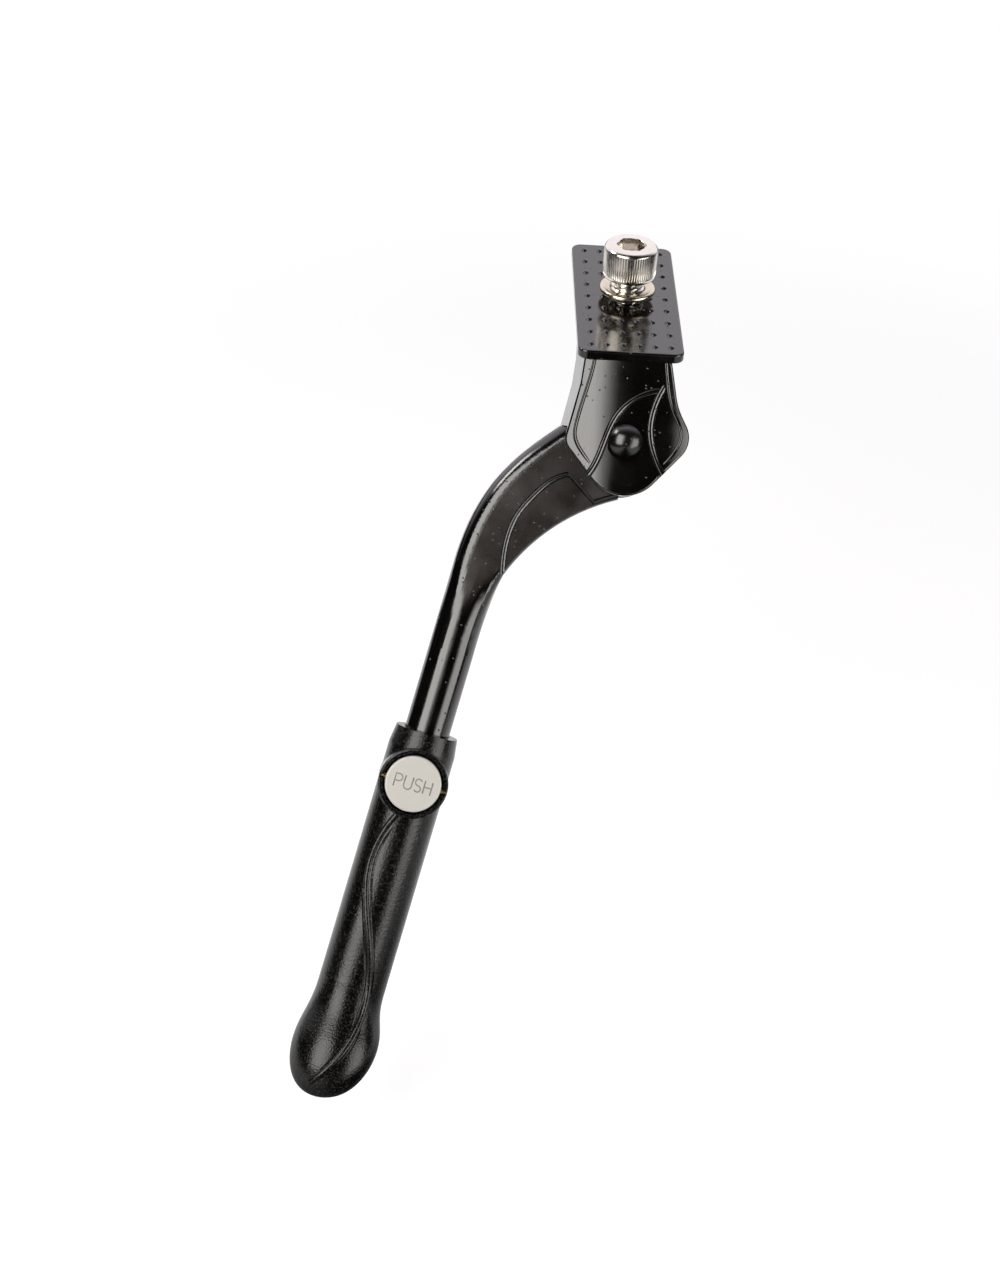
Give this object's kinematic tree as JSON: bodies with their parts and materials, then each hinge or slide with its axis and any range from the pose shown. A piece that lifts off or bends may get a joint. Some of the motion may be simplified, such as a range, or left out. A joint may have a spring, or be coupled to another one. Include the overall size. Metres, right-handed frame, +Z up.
{
  "type": "bicycle kickstand",
  "caption": "Centre-mount bicycle kickstand: pipped clamp plate with bolt, forked head, folding gooseneck leg and a sliding foot with a press-button latch.",
  "frame": {"origin": "on the clamp bolt's axis, at the top face of the plate", "axes": "+Z up along the bolt, +X towards the rear wheel, -Y to the side the leg reaches out to"},
  "size_m": [0.1095, 0.1809, 0.2144],
  "materials": {
    "black_casting": "gloss",
    "bolt_plating": "polished",
    "rivet_paint": "gloss",
    "spring_steel": "satin",
    "sleeve_plastic": "satin",
    "pin_brass": "satin",
    "button_grey": "satin"
  },
  "bodies": {
    "head": {"mount_head": "black_casting", "clamp_bolt": "bolt_plating", "clamp_washer": "bolt_plating", "pivot_rivet": "rivet_paint"},
    "leg": {"leg_arm": "black_casting", "detent_ball": "spring_steel", "detent_spring": "spring_steel"},
    "foot": {"foot_sleeve": "sleeve_plastic", "button_pin": "pin_brass", "button_spring": "spring_steel"},
    "button": {"press_button": "button_grey"}
  },
  "joints": [
    {"name": "leg_pivot", "type": "hinge", "parent": "head", "child": "leg", "pos_m": [0, -0.0449, -0.02361], "axis": [0, -0.866, 0.5], "range_deg": [0, 104]},
    {"name": "foot_slide", "type": "slide", "parent": "leg", "child": "foot", "axis": [-0.2351, -0.486, -0.8417], "range_m": [-0.01, 0.03]},
    {"name": "button_rock", "type": "hinge", "parent": "foot", "child": "button", "pos_m": [-0.05698, -0.09589, -0.11393], "axis": [-0.972, 0.1176, 0.2036], "range_deg": [0, 7], "stiffness_Nm_per_rad": 0.1, "springref_deg": -4.58, "deforming": ["button_spring"]}
  ]
}
